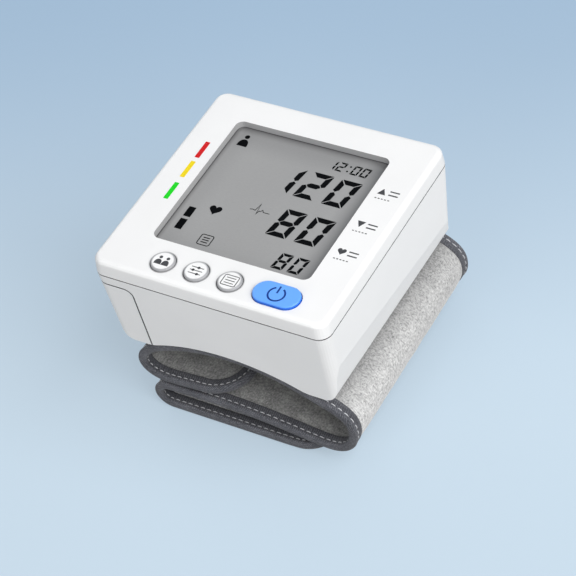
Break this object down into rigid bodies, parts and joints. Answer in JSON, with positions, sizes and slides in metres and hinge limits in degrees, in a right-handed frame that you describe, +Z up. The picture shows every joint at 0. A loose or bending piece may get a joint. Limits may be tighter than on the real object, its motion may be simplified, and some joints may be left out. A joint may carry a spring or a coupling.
{
  "type": "wrist blood pressure monitor",
  "caption": "Wrist blood pressure monitor: a square white housing with a display, push buttons and a battery cover on a folded, bound fabric cuff.",
  "frame": {"origin": "on the table under the middle of the housing, on the flat underside of the hook pad", "axes": "+Z up, the way the display faces; +X to the right of the display; -Y towards the buttons"},
  "size_m": [0.073, 0.0718, 0.0595],
  "materials": {
    "case_white": "satin moulded",
    "lid_white": "satin moulded, printed",
    "display": "grey liquid crystal display",
    "bracket_grey": "matt moulded",
    "contact_rubber": "matt",
    "board_green": "solder mask",
    "component_black": "matt",
    "plunger_grey": "matt",
    "user_button_white": "satin, printed",
    "set_button_white": "satin, printed",
    "memory_button_white": "satin, printed",
    "start_button_blue": "satin, printed",
    "cell_jacket": "printed jacket",
    "contact_steel": "nickel plated",
    "screw_steel": "zinc plated",
    "motor_steel": "drawn can",
    "pump_plastic": "matt moulded",
    "hose_silicone": "translucent matt",
    "felt_grey": "brushed loop felt",
    "lining_grey": "woven",
    "tape_slate": "woven binding tape",
    "hook_slate": "hook fastener"
  },
  "bodies": {
    "housing": {"lower_case": "case_white", "lid": "lid_white", "display_glass": "display", "display_bracket": "bracket_grey", "contact_strip_front": "contact_rubber", "contact_strip_back": "contact_rubber", "circuit_board": "board_green", "controller_chip": "component_black", "buzzer": "component_black", "pressure_sensor": "component_black", "user_switch": "component_black", "set_switch": "component_black", "memory_switch": "component_black", "start_switch": "component_black", "battery_lower": "cell_jacket", "battery_upper": "cell_jacket", "contact_plus": "contact_steel", "contact_minus": "contact_steel", "contact_bridge": "contact_steel", "screw_right_front": "screw_steel", "screw_right_back": "screw_steel", "screw_left_front": "screw_steel", "screw_left_back": "screw_steel", "pump_motor": "motor_steel", "release_valve": "motor_steel", "pump_head": "pump_plastic", "air_manifold": "hose_silicone", "valve_hose": "hose_silicone", "pump_hose": "hose_silicone", "sensor_hose": "hose_silicone", "air_bladder": "hose_silicone", "cuff_felt": "felt_grey", "cuff_fold": "felt_grey", "tail_felt": "felt_grey", "cuff_lining": "lining_grey", "tail_lining": "lining_grey", "cuff_binding": "tape_slate", "tail_binding": "tape_slate", "hook_pad": "hook_slate"},
    "user_button_body": {"user_button": "user_button_white", "user_plunger": "plunger_grey"},
    "set_button_body": {"set_button": "set_button_white", "set_plunger": "plunger_grey"},
    "memory_button_body": {"memory_button": "memory_button_white", "memory_plunger": "plunger_grey"},
    "start_button_body": {"start_button": "start_button_blue", "start_plunger": "plunger_grey"},
    "battery_cover_body": {"battery_cover": "case_white"}
  },
  "joints": [
    {"name": "user_press", "type": "slide", "parent": "housing", "child": "user_button_body", "axis": [0, 0, -1], "range_m": [0, 0.0006], "stiffness_N_per_m": 300},
    {"name": "set_press", "type": "slide", "parent": "housing", "child": "set_button_body", "axis": [0, 0, -1], "range_m": [0, 0.0006], "stiffness_N_per_m": 300},
    {"name": "memory_press", "type": "slide", "parent": "housing", "child": "memory_button_body", "axis": [0, 0, -1], "range_m": [0, 0.0006], "stiffness_N_per_m": 300},
    {"name": "start_press", "type": "slide", "parent": "housing", "child": "start_button_body", "axis": [0, 0, -1], "range_m": [0, 0.0006], "stiffness_N_per_m": 300},
    {"name": "battery_cover_slide", "type": "slide", "parent": "housing", "child": "battery_cover_body", "axis": [-1, 0, 0], "range_m": [0, 0.014]}
  ]
}
